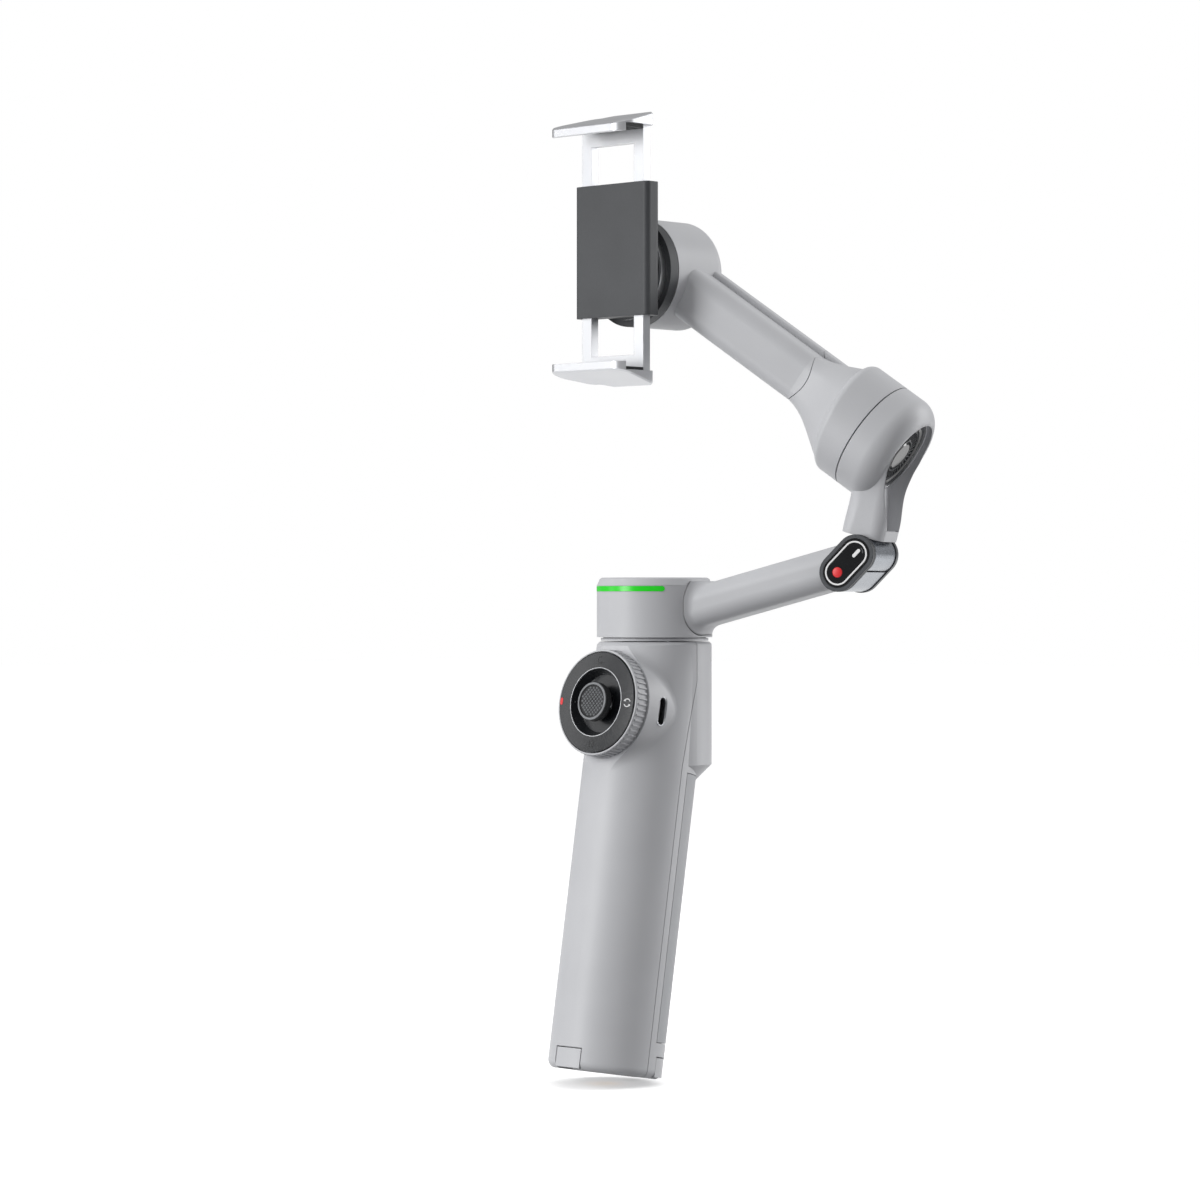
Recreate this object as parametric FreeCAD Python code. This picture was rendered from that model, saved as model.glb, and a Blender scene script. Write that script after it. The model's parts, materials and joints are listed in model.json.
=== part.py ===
import FreeCAD, Part
import math
import os

# Handheld three-axis phone gimbal. Millimetres, +Z up.
# Origin: centre of the grip's flat bottom, on the axis of its tripod thread.
# The control wheel and the phone face -Y; the grip leans back from -Y at its foot.

V = FreeCAD.Vector
X_AXIS = V(1, 0, 0)
Y_AXIS = V(0, 1, 0)
Z_AXIS = V(0, 0, 1)
ORIGIN = V(0, 0, 0)

# ---- driving dimensions -------------------------------------------------
# grip and neck
GRIP_LENGTH = 132.3          # along the grip's axis, bottom face to neck plane
GRIP_LEAN = 9.7              # degrees between the grip's axis and the pan axis
GRIP_RADIUS = 17.3
NECK_RADIUS = 17.4
NECK_DEPTH = 38.0            # how far the upright neck reaches down behind the grip
NECK_UNDERCUT = 5.0          # height of the sloped finger ledge under the neck
NECK_CHAMFER = 1.0
GRIP_WALL = 2.0
FOOT_ROUND = 2.6             # rounding of the grip's bottom edge
SEAM = 0.2                   # gap along the line where two shells of one body meet
RUN = 0.3                    # gap between pieces that move past each other
FIT = 0.06                   # radial running clearance of a shaft in its bore
PAD_THICKNESS = 1.2
PAD_ARC = 160.0              # degrees of the grip's back that the pad covers
PAD_LOW = 11.0               # pad's lower and upper ends along the grip
PAD_HIGH = 92.0

# control wheel
WHEEL_HEIGHT = 109.6         # along the grip's axis
WHEEL_FACE = 22.2            # wheel's face, from the grip's axis
DIAL_RADIUS = 16.2
DIAL_DEPTH = 5.0
DIAL_BORE = 13.15
DIAL_TEETH = 60
BOSS_RADIUS = 16.6
BOSS_BLEND = 4.0
RING_RADIUS = 15.2
RING_THICKNESS = 1.2
BOWL_RADIUS = 10.4
RING_TRAVEL = 0.4
STICK_RADIUS = 6.0
STICK_HEIGHT = 3.4
YOKE_RADIUS = 4.2
YOKE_BORE = 2.9
STEM_BALL = 2.4

# trigger
TRIGGER_WIDTH = 16.4
TRIGGER_TOP = 9.5            # below the neck plane
TRIGGER_HEIGHT = 21.0
TRIGGER_WALL = 1.8
TRIGGER_PROUD = 0.5
TRIGGER_PIN = 1.0

# charging socket
SOCKET_HEIGHT = 108.9        # along the grip's axis
SOCKET_FRONT = 10.5          # forward of the grip's axis
SOCKET_LONG = 8.94
SOCKET_WIDE = 3.26
SOCKET_DEPTH = 6.4
SOCKET_WALL = 0.3

# battery, tripod and telescopic rod inside the grip
CELL_RADIUS = 9.15
CELL_LENGTH = 50.0
CELL_BASE = 10.0
TUBE_WALL = 0.55
BULKHEAD_HEIGHT = 66.0
THREAD_RADIUS = 2.55
THREAD_LENGTH = 7.4
LEG_INNER = 10.2
LEG_OUTER = 14.8
LEG_ARC = 104.0
LEG_TOP = 55.0
LEG_COUNT = 3
LEG_FOOT = 0.6               # the feet sit this far inside the bottom face
LEG_LUG = 3.0
LEG_PIN = 0.8
LEG_NIB_ARC = 33.0
LEG_NIB_HEIGHT = 6.4
HUB_TOP = 62.0
ROD_COUNT = 4
ROD_BASE = 70.0
ROD_OUTER = 8.8
ROD_WALL = 0.9
SLEEVE_WALL = 0.9
BULKHEAD_THICK = 1.6
SCREW_RADIUS = 1.0
SCREW_HEAD = 1.6
SCREW_LENGTH = 8.0
BOARD_THICK = 1.2
BOARD_HALF = 6.6

# pan housing
PAN_RADIUS = 17.6
PAN_WALL = 1.6
PAN_FLOOR = 0.7              # underside of the housing above the neck plane
PAN_SPLIT = 16.4             # where the cap starts
PAN_TOP = 18.8
CAP_SLOPE = 1.1
LIGHT_LOW = 14.6
LIGHT_HIGH = 16.2
LIGHT_DEPTH = 0.9
LIGHT_HALF_ARC = 50.0
ROTOR_WALL = 2.6
MOTOR_HEIGHT = 8.2
PAN_SHAFT = 4.0
PAN_BORE = 2.6
TILT_SHAFT = 3.2
TILT_BORE = 1.8
ROLL_SHAFT = 3.0

# lower arm and fold hinge, in the arm's own upright plane
ARM_YAW = 19.5               # degrees from +X towards +Y
ARM_RISE = 15.0
ARM_WIDTH = 19.0
ARM_THICK = 12.2
ARM_RAISE = 0.4              # middle line above the line through the hinge
ARM_ROUND = 5.0
ARM_WALL = 2.0
ROOT_BLEND = 3.5             # rounding between the arm's root and the pan housing
PIVOT_R = 69.0
PIVOT_Z = 25.6
KNUCKLE_STEP = 7.7           # between the hinge's two rounded ends, at 45 degrees
KNUCKLE_RADIUS = 5.7
KNUCKLE_HALF = 8.4
FRONT_PLATE = 2.4
REAR_PLATE = 1.7
FACE_INSET = 1.1
FACE_DEPTH = 0.8
HINGE_PIN = 1.8

# upper arm and tilt motor
UPPER_LEAN = 15.0
UPPER_WIDTH = 16.8
ROOT_GAP = 5.2               # arm starts this far above the fold pivot
UPPER_THICK = 12.0
UPPER_INNER = 1.9            # extra thickness on the side towards the pan axis
TILT_RISE = 35.5             # tilt axis above the horizontal, towards the pan axis
TILT_SEAM_R = 70.8           # motor's seam, from the pan axis
TILT_RADIUS = 17.3
TILT_BACK = 12.5             # seam to the motor's back rim
TILT_WALL = 1.7
RECESS_RADIUS = 12.2
RECESS_FLOOR = 10.0
TAIL_RADIUS = 3.0            # rounded tail of the teardrop recess
DISC_THICKNESS = 1.2
BEZEL_WALL = 0.45

# link arm and roll motor
ROTOR_LENGTH = 9.0
SHOULDER_RISE = 2.2          # rotor's oblique shoulder, above its shortest side at the middle
SHOULDER_TILT = 7.2
SHOULDER_ROUND = 2.4
LINK_LOW = 5.6               # link arm's section, below and above the tilt axis
LINK_HIGH = 9.8
LINK_HALF = 8.2
LINK_SPINE = 1.6
LINK_TAPER = 18.0            # length over which the motor's drum narrows to the arm
LINK_SPLIT = 24.2
LINK_SPLIT_RADIUS = 11.3
ROLL_HEIGHT = 111.2          # roll axis above the neck plane
ROLL_RADIUS = 16.5
ROLL_BACK = 14.0
ROLL_FRONT = 7.0
ROLL_WALL = 1.8
ROLL_ROUND = 3.0

# phone clamp
PHONE_CENTRE = 117.3         # above the neck plane
PHONE_WIDTH = 71.5           # held across the jaws
PHONE_THICK = 8.3
PHONE_BACK = 20.0            # phone's back, forward of the pan axis
JAW_WIDTH = 30.5
JAW_THICK = 4.3
JAW_LIP = 1.5                # how far the lip hooks over the phone's edge
JAW_LIP_DEPTH = 2.2
JAW_ROUND = 4.6
JAW_SLOPE = 16.0
JAW_STEP = 2.6
JAW_CHAMFER = 0.4
JAW_PAD = 1.0
PAD_INSET = 1.6
FRAME_HALF = 15.0
FRAME_LOW = 20.0             # frame's ends, below and above the phone's centre
FRAME_HIGH = 20.0
FRAME_THICK = 5.8
LEG_FRONT = 1.3              # legs' front faces, behind the phone's back
LEG_GAP_INNER = 8.8          # the jaws' legs, off the clamp's middle
LEG_WIDTH = 3.8
LEG_THICK = 3.0
LEG_LENGTH = 26.0
MAGNET_THICK = 2.2
MAGNET_RADIUS = 14.5

PAN_Y = GRIP_LENGTH * math.sin(math.radians(GRIP_LEAN))
NECK_Z = GRIP_LENGTH * math.cos(math.radians(GRIP_LEAN))
TILT_SEAM_Z = ROLL_HEIGHT - TILT_SEAM_R * math.tan(math.radians(TILT_RISE))


# ---- small helpers -------------------------------------------------------
def save(name, shape):
    if not shape.isValid():
        print("NOT VALID", name)
    print(name, len(shape.Solids), round(shape.Volume, 1))
    shape.exportStep("parts/" + name + ".step")


def rod(radius, low, high, x=0.0, y=0.0):
    return Part.makeCylinder(radius, high - low, V(x, y, low))


def tube(outer, inner, low, high):
    return rod(outer, low, high).cut(rod(inner, low - 1, high + 1))


def block(x0, x1, y0, y1, z0, z1):
    return Part.makeBox(x1 - x0, y1 - y0, z1 - z0, V(x0, y0, z0))


def spun(points):
    """Solid of revolution about Z from a closed outline of (radius, height)."""
    wire = Part.makePolygon([V(r, 0, z) for r, z in points + points[:1]])
    return Part.Face(wire).revolve(ORIGIN, Z_AXIS, 360)


def wedge(radius, start, end, low, high):
    """Pie slice about Z between two angles in degrees."""
    slice_ = Part.makeCylinder(radius, high - low, V(0, 0, low), Z_AXIS, end - start)
    slice_.rotate(ORIGIN, Z_AXIS, start)
    return slice_


def bent_slab(outer, inner, start, end, low, high):
    """Part of a tube wall between two angles."""
    return wedge(outer, start, end, low, high).cut(rod(inner, low - 1, high + 1))


def rounded_wire(x0, x1, y0, y1, radius, z):
    """Rectangle with round corners, at height z."""
    cx = [x1 - radius, x0 + radius, x0 + radius, x1 - radius]
    cy = [y1 - radius, y1 - radius, y0 + radius, y0 + radius]
    edges = []
    last = None
    for i in range(4):
        centre = V(cx[i], cy[i], z)
        arc = Part.makeCircle(radius, centre, Z_AXIS, 90 * i, 90 * (i + 1))
        if last is not None:
            edges.append(Part.makeLine(last, arc.Vertexes[0].Point))
        edges.append(arc)
        last = arc.Vertexes[-1].Point
    edges.append(Part.makeLine(last, edges[0].Vertexes[0].Point))
    return Part.Wire(edges)


def rounded_block(x0, x1, y0, y1, radius, low, high):
    face = Part.Face(rounded_wire(x0, x1, y0, y1, radius, low))
    return face.extrude(V(0, 0, high - low))


def capsule(ax, az, bx, bz, radius, y0, y1):
    """Two round ends joined by flanks, in the X-Z plane, from y0 to y1."""
    along = V(bx - ax, 0, bz - az)
    length = along.Length
    angle = math.degrees(math.atan2(bz - az, bx - ax))
    depth = y1 - y0
    body = Part.makeBox(length, depth, 2 * radius, V(0, 0, -radius))
    body.rotate(ORIGIN, Y_AXIS, -angle)
    body.translate(V(ax, y0, az))
    for x, z in ((ax, az), (bx, bz)):
        body = body.fuse(Part.makeCylinder(radius, depth, V(x, y0, z), Y_AXIS))
    return body.removeSplitter()


def moved(shape, x, y, z):
    copy = shape.copy()
    copy.translate(V(x, y, z))
    return copy


def turned(shape, axis, degrees):
    copy = shape.copy()
    copy.rotate(ORIGIN, axis, degrees)
    return copy


def blended(first, second, radius):
    """Two solids joined, with the creases where their walls cross rounded off."""
    whole = first.fuse(second).removeSplitter()
    creases = [e for e in whole.Edges if e.Curve.TypeId == "Part::GeomBSplineCurve"]
    return whole.makeFillet(radius, creases)


def in_grip(shape):
    """Grip frame: Z along the grip from its bottom face, -Y to the front."""
    return turned(shape, X_AXIS, -GRIP_LEAN)


def in_wheel(shape):
    """Wheel frame: Z out of the control wheel, from the grip's axis."""
    return in_grip(moved(turned(shape, X_AXIS, 90), 0, 0, WHEEL_HEIGHT))


def in_neck(shape):
    """Neck frame: upright, origin where the pan axis meets the neck plane."""
    return moved(shape, 0, PAN_Y, NECK_Z)


def in_arm(shape):
    """Arm frame: X outward along the lower arm's plane, Z up."""
    return in_neck(turned(shape, Z_AXIS, ARM_YAW))


def in_upper(shape):
    """Upper arm frame: Z up along the upper arm from the fold pivot."""
    return in_arm(moved(turned(shape, Y_AXIS, UPPER_LEAN), PIVOT_R, 0, PIVOT_Z))


def in_tilt(shape):
    """Tilt frame: Z along the tilt axis towards the pan axis, from the seam."""
    laid = turned(shape, Y_AXIS, TILT_RISE - 90)
    return in_arm(moved(laid, TILT_SEAM_R, 0, TILT_SEAM_Z))


def in_roll(shape):
    """Roll frame: Z forward to the phone (-Y), origin on the pan axis."""
    return in_neck(moved(turned(shape, X_AXIS, 90), 0, 0, ROLL_HEIGHT))


# ---- grip ------------------------------------------------------------------
def neck_shape(radius, shrink):
    """Upright neck with its sloped finger ledge, in the neck frame."""
    low = -NECK_DEPTH + shrink
    column = rod(radius, low, -PAN_FLOOR - shrink)
    ledge = Part.makeCone(radius - NECK_UNDERCUT, radius, NECK_UNDERCUT,
                          V(0, 0, low - NECK_UNDERCUT))
    return column.fuse(ledge)


def grip_outside():
    barrel = rod(GRIP_RADIUS, 0, GRIP_LENGTH + GRIP_RADIUS)
    foot = [e for e in barrel.Edges if e.BoundBox.ZMax < 0.1 and len(e.Vertexes) == 1]
    barrel = in_grip(barrel.makeFillet(FOOT_ROUND, foot))
    body = blended(barrel, in_wheel(rod(BOSS_RADIUS, 0, 2 * WHEEL_FACE)), BOSS_BLEND)
    boss_top = WHEEL_FACE - DIAL_DEPTH - RUN
    spare = in_wheel(rod(2 * BOSS_RADIUS, boss_top, 3 * WHEEL_FACE)).cut(barrel)
    body = body.cut(spare).fuse(in_neck(neck_shape(NECK_RADIUS, 0.0)))
    reach = 3 * GRIP_RADIUS
    above = block(-reach, reach, -reach, reach, -PAN_FLOOR, reach)
    rim = block(-reach, reach, -reach, reach, -PAN_FLOOR - NECK_CHAMFER, 0)
    rim = rim.cut(Part.makeCone(NECK_RADIUS + 0.3, NECK_RADIUS + 0.3 - NECK_CHAMFER,
                                NECK_CHAMFER, V(0, 0, -PAN_FLOOR - NECK_CHAMFER)))
    return body.cut([in_neck(above), in_neck(rim)])


def grip_inside():
    inner = GRIP_RADIUS - GRIP_WALL
    barrel = in_grip(rod(inner, -1, GRIP_LENGTH + GRIP_RADIUS))
    boss_depth = WHEEL_FACE - DIAL_DEPTH - RUN - GRIP_WALL
    boss = in_wheel(rod(BOSS_RADIUS - GRIP_WALL, 0, boss_depth))
    neck = in_neck(neck_shape(NECK_RADIUS - GRIP_WALL, GRIP_WALL))
    reach = 3 * GRIP_RADIUS
    roof = block(-reach, reach, -reach, reach, -PAN_FLOOR - GRIP_WALL, reach)
    return barrel.fuse([boss, neck]).cut(in_neck(roof))


def trigger_shape(gap):
    """Curved finger plate at the back of the neck, grown by a gap all round."""
    outer = NECK_RADIUS + TRIGGER_PROUD + gap
    inner = NECK_RADIUS - TRIGGER_WALL - gap
    low = -TRIGGER_TOP - TRIGGER_HEIGHT - 2 * gap
    high = -TRIGGER_TOP + gap
    half = TRIGGER_WIDTH / 2 + gap
    return tube(outer, inner, low, high).common(block(-half, half, 0, 2 * outer, low, high))


def socket_cut():
    """Stadium hole for the charging plug, through the wheel boss's flank."""
    half = SOCKET_WIDE / 2
    y = -SOCKET_FRONT
    ends = (SOCKET_LONG - SOCKET_WIDE) / 2
    hole = capsule(0, -ends, 0, ends, half, 0, 2 * GRIP_RADIUS)
    hole = turned(hole, Z_AXIS, -90)
    return moved(hole, 0, y, SOCKET_HEIGHT)


def leg_notches():
    notches = []
    for leg in range(LEG_COUNT):
        arc = LEG_NIB_ARC / 2 + math.degrees(RUN / GRIP_RADIUS)
        centre = leg_angle(leg)
        notches.append(wedge(2 * GRIP_RADIUS, centre - arc, centre + arc,
                             -1, LEG_NIB_HEIGHT + RUN))
    return notches


def grip_shells():
    """Front and rear halves, parted along the neck's and the grip's mid-planes."""
    hollow = grip_outside().cut(grip_inside())
    cuts = [in_grip(n) for n in leg_notches()]
    cuts.append(in_grip(rod(sleeve_outer() + SEAM, BULKHEAD_HEIGHT, 2 * GRIP_LENGTH)))
    cuts.append(in_wheel(rod(DIAL_BORE + SEAM, 0, 2 * WHEEL_FACE)))
    cuts.append(in_wheel(rod(DIAL_RADIUS + RUN, WHEEL_FACE - DIAL_DEPTH - RUN, 2 * WHEEL_FACE)))
    cuts.append(in_grip(socket_cut()))
    cuts.append(in_neck(trigger_shape(RUN)))
    low = PAD_LOW - SEAM
    high = PAD_HIGH + SEAM
    side = (180 - PAD_ARC) / 2 - math.degrees(SEAM / GRIP_RADIUS)
    cuts.append(in_grip(bent_slab(2 * GRIP_RADIUS, GRIP_RADIUS - PAD_THICKNESS,
                                  side, 180 - side, low, high).common(
        rod(GRIP_RADIUS + 0.01, low, high))))
    hollow = hollow.cut(cuts)
    reach = 3 * GRIP_RADIUS
    bend = NECK_DEPTH
    bottom = -2 * GRIP_LENGTH
    slope = math.tan(math.radians(GRIP_LEAN))
    parting = [V(0, 0, reach), V(0, 0, -bend / 3), V(0, -bend * slope, -bend),
               V(0, bottom * slope, bottom)]
    front = parting + [V(0, bottom * slope - reach, bottom), V(0, -reach, reach), parting[0]]
    front = Part.Face(Part.makePolygon(front)).extrude(V(2 * reach, 0, 0))
    front = in_neck(moved(front, -reach, 0, 0))
    front_shell = hollow.common(moved(front, 0, -SEAM / 2, 0))
    rear_shell = hollow.cut(moved(front, 0, SEAM / 2, 0))
    return front_shell, rear_shell


def grip_pad():
    side = (180 - PAD_ARC) / 2
    pad = bent_slab(GRIP_RADIUS, GRIP_RADIUS - PAD_THICKNESS + SEAM / 2,
                    side, 180 - side, PAD_LOW, PAD_HIGH)
    ledge = neck_shape(NECK_RADIUS + SEAM, 0.0)
    return in_grip(pad).cut(in_neck(ledge))


# ---- inside the grip ---------------------------------------------------------
def sleeve_outer():
    return ROD_OUTER + RUN + SLEEVE_WALL


def base_plug():
    plug = rod(CELL_RADIUS + TUBE_WALL, 0, CELL_BASE - 0.5)
    return in_grip(plug.cut(rod(insert_radius(), -1, CELL_BASE)))


def insert_radius():
    return THREAD_RADIUS + 1.7


def thread_insert():
    return in_grip(tube(insert_radius(), THREAD_RADIUS, 0, THREAD_LENGTH))


def battery_tube():
    wall = tube(CELL_RADIUS + TUBE_WALL, CELL_RADIUS + 0.05, CELL_BASE - 0.5, BULKHEAD_HEIGHT)
    bulkhead = rod(GRIP_RADIUS - GRIP_WALL, BULKHEAD_HEIGHT, BULKHEAD_HEIGHT + BULKHEAD_THICK)
    return in_grip(wall.fuse(bulkhead))


def battery_cell():
    cell = rod(CELL_RADIUS, CELL_BASE, CELL_BASE + CELL_LENGTH)
    return in_grip(cell.fuse(rod(CELL_RADIUS / 3, CELL_BASE, CELL_BASE + CELL_LENGTH + 1)))


def rod_sleeve():
    outer = sleeve_outer()
    return in_grip(tube(outer, outer - SLEEVE_WALL, BULKHEAD_HEIGHT + BULKHEAD_THICK, rod_top()))


def rod_top():
    """Upper ends of the stages, level with the neck plane's lowest point over them."""
    dip = sleeve_outer() * math.tan(math.radians(GRIP_LEAN))
    return GRIP_LENGTH - dip - PAN_FLOOR - RUN


def rod_stage(number):
    """Telescopic stage; the innermost carries the pan motor's flange."""
    outer = ROD_OUTER - (number - 1) * (ROD_WALL + RUN)
    low = ROD_BASE
    if number < ROD_COUNT:
        return in_grip(tube(outer, outer - ROD_WALL, low, rod_top()))
    stage = in_grip(tube(outer, outer - ROD_WALL, low, GRIP_LENGTH + outer))
    reach = 2 * GRIP_RADIUS
    return stage.cut(in_neck(block(-reach, reach, -reach, reach, flange_low(), reach)))


def flange_low():
    return -PAN_FLOOR + RUN


def main_board():
    edge = GRIP_RADIUS - GRIP_WALL - 3.0
    low, high = screw_heights()
    return in_grip(block(edge, edge + BOARD_THICK, -BOARD_HALF, BOARD_HALF, low + 4, high - 4))


def socket_shell():
    ends = (SOCKET_LONG - SOCKET_WIDE) / 2
    face = BOSS_RADIUS - 0.4
    y0 = face - SOCKET_DEPTH
    shell = capsule(0, -ends, 0, ends, SOCKET_WIDE / 2 - 0.02, y0, face)
    hollow = capsule(0, -ends, 0, ends, SOCKET_WIDE / 2 - SOCKET_WALL, y0 + 1.0, face + 1)
    shell = turned(shell.cut(hollow), Z_AXIS, -90)
    return in_grip(moved(shell, 0, -SOCKET_FRONT, SOCKET_HEIGHT))


def socket_tongue():
    face = BOSS_RADIUS - 0.4
    root = face - SOCKET_DEPTH + 1.0
    tongue = block(root, face - 1.2, -0.35, 0.35, -3.3, 3.3)
    return in_grip(moved(tongue, 0, -SOCKET_FRONT, SOCKET_HEIGHT))


def screw_heights():
    return BULKHEAD_HEIGHT + 6, GRIP_LENGTH - 12


def shell_screws():
    screws = []
    off_middle = (GRIP_RADIUS - GRIP_WALL + sleeve_outer()) / 2
    for side in (-off_middle, off_middle):
        for height in screw_heights():
            tip = V(side, 2 - SCREW_LENGTH, height)
            screw = Part.makeCylinder(SCREW_RADIUS, SCREW_LENGTH, tip, Y_AXIS)
            head = Part.makeCylinder(SCREW_HEAD, 1.4, V(side, 2, height), Y_AXIS)
            screws.append(in_grip(screw.fuse(head)))
    return screws


# ---- control wheel -------------------------------------------------------------
def dial():
    """Knurled dial: an outer rim round the button ring and a flange under it."""
    back = WHEEL_FACE - DIAL_DEPTH
    top = WHEEL_FACE - 0.3
    flange_top = WHEEL_FACE - RING_THICKNESS - RING_TRAVEL - RUN
    valley = DIAL_RADIUS - 0.35
    inside = RING_RADIUS + RUN
    body = spun([(DIAL_BORE, back), (valley, back), (valley, top - 0.9), (DIAL_RADIUS - 0.1, top - 0.4),
                 (DIAL_RADIUS - 0.3, top), (inside, top), (inside, flange_top), (DIAL_BORE, flange_top)])
    ridge_half = 0.33 * math.pi * DIAL_RADIUS / DIAL_TEETH
    ridge = block(valley - 0.2, DIAL_RADIUS, -ridge_half, ridge_half, back + 0.2, top - 0.9)
    ridges = [turned(ridge, Z_AXIS, i * 360.0 / DIAL_TEETH) for i in range(DIAL_TEETH)]
    return in_wheel(body.fuse(ridges))


def ring_floor():
    return WHEEL_FACE - 4.4


def button_ring():
    """Glossy four-way ring with the stick's bowl in its middle."""
    hub = collar_inner() - RUN
    under = WHEEL_FACE - RING_THICKNESS
    floor = ring_floor() + 1.4
    low_bowl = BOWL_RADIUS - 1.6
    hole = STICK_RADIUS - 2.0
    body = spun([(hole, ring_floor()), (hub, ring_floor()), (hub, under), (RING_RADIUS, under),
                 (RING_RADIUS, WHEEL_FACE - 0.35), (RING_RADIUS - 0.35, WHEEL_FACE),
                 (BOWL_RADIUS, WHEEL_FACE), (low_bowl, floor), (hole, floor)])
    return in_wheel(body)


def collar_inner():
    return DIAL_BORE - 0.1 - RUN


def stick_housing():
    """Fixed cup under the ring; its collar is the dial's bearing."""
    low = WHEEL_FACE - 10.4
    base = WHEEL_FACE - 8.2
    top = WHEEL_FACE - RING_THICKNESS - RING_TRAVEL - RUN - 0.4
    outer = DIAL_BORE - FIT
    inner = collar_inner()
    stop = ring_floor() - RING_TRAVEL - RUN
    return in_wheel(spun([(0, low), (7.5, low), (7.5, base), (outer, base), (outer, top), (inner, top),
                          (inner, base + 1.2), (6.4, base + 1.2), (6.4, stop), (5.2, stop),
                          (5.2, low + 1.4), (0, low + 1.4)]))


def stick_pivot():
    return WHEEL_FACE - 6.2


def stick_yoke():
    """Small ring that lets the stick tilt two ways."""
    pivot = stick_pivot()
    ring = tube(YOKE_RADIUS, YOKE_BORE, pivot - 0.8, pivot + 0.8)
    half = YOKE_RADIUS + 0.8
    pins = Part.makeCylinder(0.7, 2 * half, V(-half, 0, pivot), X_AXIS)
    return in_wheel(ring.fuse(pins.cut(rod(YOKE_BORE, 0, 2 * WHEEL_FACE))))


def stick_stem():
    pivot = stick_pivot()
    foot = WHEEL_FACE - 1.0
    stem = Part.makeSphere(STEM_BALL, V(0, 0, pivot))
    half = YOKE_BORE - 0.2
    pins = Part.makeCylinder(0.6, 2 * half, V(0, -half, pivot), Y_AXIS)
    return in_wheel(stem.fuse([rod(1.5, pivot, foot), pins]))


def stick_cap():
    low = WHEEL_FACE - 1.0
    top = low + STICK_HEIGHT
    r = STICK_RADIUS
    return in_wheel(spun([(0, low), (r - 0.8, low), (r, low + 0.7), (r, top - 0.7),
                          (r - 0.5, top), (r - 1.0, top), (r - 1.2, top - 0.5), (0, top - 0.3)]))


# ---- trigger ---------------------------------------------------------------------
def trigger_hinge():
    """Pivot's height below the neck plane and its distance behind the pan axis."""
    return -TRIGGER_TOP - 2.0, NECK_RADIUS - TRIGGER_WALL - 2.6


def trigger():
    height, back = trigger_hinge()
    plate = trigger_shape(0.0)
    lug = Part.makeCylinder(1.6, 8, V(-4, back, height), X_AXIS)
    web = block(-4, 4, back, NECK_RADIUS - 0.8, height - 1.2, height + 1.2)
    bore = Part.makeCylinder(TRIGGER_PIN + FIT, 10, V(-5, back, height), X_AXIS)
    return in_neck(plate.fuse([lug, web]).cut(bore))


def trigger_pin():
    height, back = trigger_hinge()
    pin = Part.makeCylinder(TRIGGER_PIN, 13, V(-6.5, back, height), X_AXIS)
    ear = block(4.4, 6.4, back - 1.8, back + 0.6, height - 1.4, -PAN_FLOOR - GRIP_WALL)
    other = ear.mirror(ORIGIN, X_AXIS)
    return in_neck(pin.fuse([ear, other]))


# ---- tripod ------------------------------------------------------------------------
def leg_lug(number, gap):
    """Lug of the hub that a leg's top straddles, grown by a gap."""
    half = LEG_LUG / 2 + gap
    lug = block(LEG_INNER + 0.2 - gap, LEG_OUTER - 0.2 + gap, -half, half,
                LEG_TOP - 2 * LEG_LUG - gap, LEG_TOP + RUN)
    return turned(lug, Z_AXIS, leg_angle(number))


def leg_pin(number):
    middle = (LEG_INNER + LEG_OUTER) / 2
    half = 1.2 * LEG_LUG
    pin = Part.makeCylinder(LEG_PIN, 2 * half, V(middle, -half, LEG_TOP - LEG_LUG), Y_AXIS)
    return turned(pin, Z_AXIS, leg_angle(number))


def leg_angle(number):
    return -90 + 120 * number


def tripod_hub():
    hub = tube(LEG_OUTER, LEG_INNER, LEG_TOP + RUN, HUB_TOP)
    for leg in range(LEG_COUNT):
        hub = hub.fuse(leg_lug(leg, 0.0)).cut(leg_pin(leg))
    return in_grip(hub)


def tripod_leg(number):
    """Leg folded round the battery, with its finger nib in the grip's wall."""
    centre = leg_angle(number)
    leg = bent_slab(LEG_OUTER, LEG_INNER, centre - LEG_ARC / 2, centre + LEG_ARC / 2,
                    LEG_FOOT, LEG_TOP)
    nib = bent_slab(GRIP_RADIUS - 0.1, LEG_OUTER - 0.5, centre - LEG_NIB_ARC / 2,
                    centre + LEG_NIB_ARC / 2, LEG_FOOT, LEG_NIB_HEIGHT)
    return in_grip(leg.fuse(nib).cut([leg_lug(number, RUN / 2), leg_pin(number)]))


def tripod_pins():
    return [in_grip(leg_pin(leg)) for leg in range(LEG_COUNT)]


# ---- pan motor ------------------------------------------------------------------------
def neck_flange():
    """Plate on the telescopic rod that the pan motor stands on."""
    rim = NECK_RADIUS - NECK_CHAMFER
    inner = PAN_RADIUS - PAN_WALL - RUN
    return in_neck(spun([(0, flange_low()), (rim, flange_low()), (rim, PAN_FLOOR - RUN),
                         (inner, PAN_FLOOR - RUN), (inner, PAN_FLOOR + 1.0), (0, PAN_FLOOR + 1.0)]))


def pan_stator():
    low = PAN_FLOOR + 1.0
    outer = PAN_RADIUS - PAN_WALL - ROTOR_WALL - 0.4
    return in_neck(tube(outer, PAN_SHAFT + FIT, low, low + MOTOR_HEIGHT - 0.6))


def pan_rotor():
    low = PAN_FLOOR + 1.0 + RUN
    outer = PAN_RADIUS - PAN_WALL
    top = low + MOTOR_HEIGHT
    ring = tube(outer, outer - ROTOR_WALL, low, top)
    web = tube(outer, PAN_BORE, top, top + 1.4)
    shaft = tube(PAN_SHAFT, PAN_BORE, low, top)
    return in_neck(ring.fuse([web, shaft]))


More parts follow.
